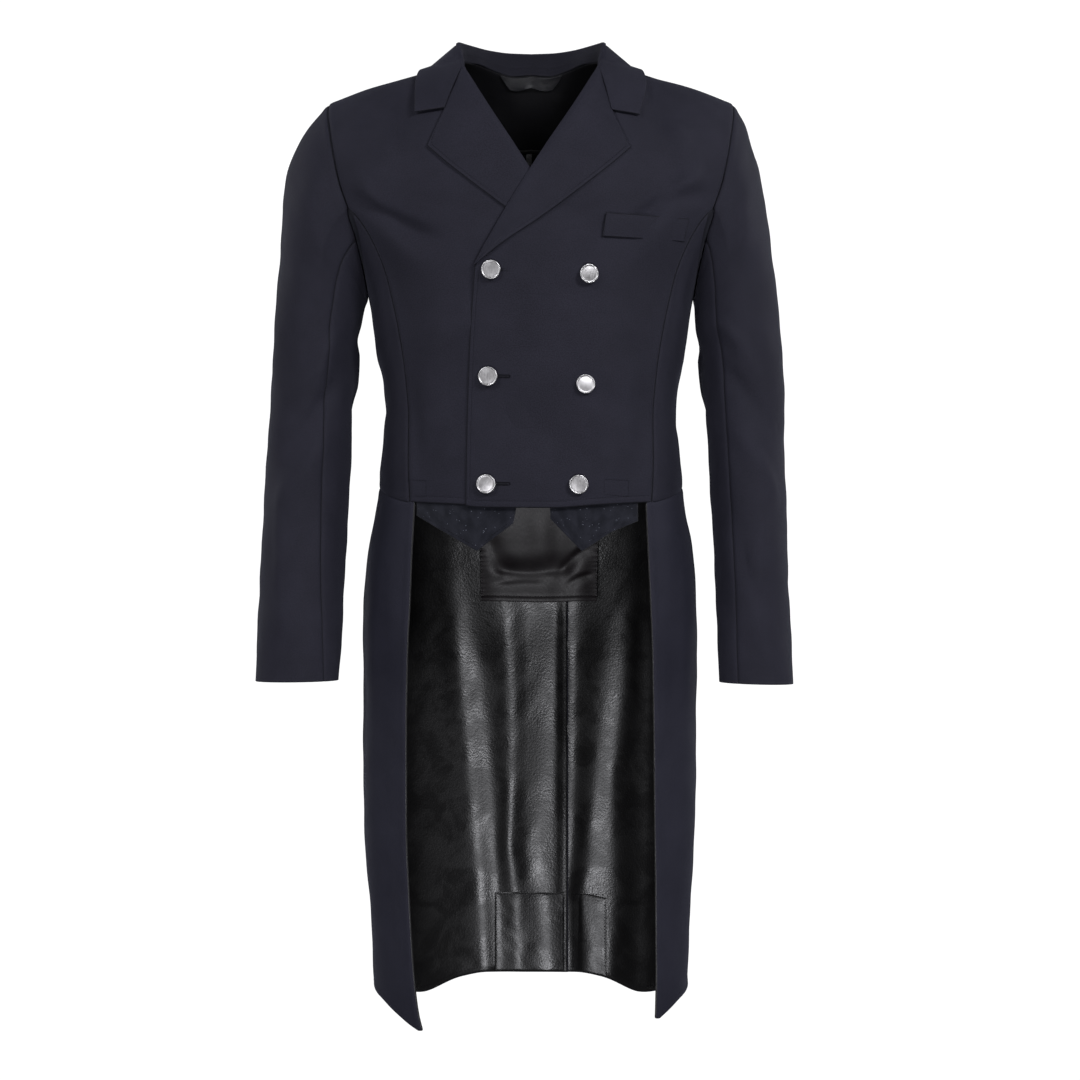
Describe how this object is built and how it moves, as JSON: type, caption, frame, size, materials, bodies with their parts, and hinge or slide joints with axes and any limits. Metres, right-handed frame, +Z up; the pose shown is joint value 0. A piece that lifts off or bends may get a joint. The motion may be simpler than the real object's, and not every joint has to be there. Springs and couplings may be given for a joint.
{
  "type": "tailcoat",
  "caption": "Double-breasted riding tailcoat in dark wool-like cloth, filled out as worn, with notched lapels, lined long tails, a vent and pointed vest inserts.",
  "frame": {"origin": "midway between the two shoulder points, where the wearer's shoulders carry the coat", "axes": "+Z up the body, +X towards the wearer's left, -Y out of the coat's front"},
  "size_m": [0.5924, 0.2538, 1.0975],
  "materials": {
    "suiting": "fine dark navy wool-like twill, matt with a faint sheen",
    "leather": "black artificial leather, fine grain, soft gloss",
    "satin": "charcoal satin",
    "suede": "dark navy suede-like cloth, matt",
    "lining": "dark lining, with grey stripes below the yoke",
    "piping": "black piping with a grey edge",
    "label": "woven strip, bare",
    "metal": "dull silver, rimmed"
  },
  "bodies": {
    "root": {"front_left": "suiting", "front_right": "suiting", "side_left": "suiting", "side_right": "suiting", "back_left": "suiting", "back_right": "suiting", "sleeve_upper_left": "suiting", "sleeve_upper_right": "suiting", "sleeve_under_left": "suiting", "sleeve_under_right": "suiting", "lapel_left": "suiting", "lapel_right": "suiting", "tail_left": "suiting", "tail_right": "suiting", "tail_lining_left": "leather", "tail_lining_right": "leather", "weight_pocket_left": "leather", "weight_pocket_right": "leather", "vest_point_left": "suede", "vest_point_right": "suede", "tail_piping_left": "piping", "tail_piping_right": "piping", "collar_stand": "suiting", "collar_fall": "suiting", "pocket_welt": "suiting", "waist_flap": "satin", "yoke_lining": "lining", "back_lining": "lining", "lining_piping": "piping", "neck_label": "label", "button_inner_top": "metal", "button_inner_middle": "metal", "button_inner_bottom": "metal", "button_outer_top": "metal", "button_outer_middle": "metal", "button_outer_bottom": "metal"}
  },
  "joints": []
}
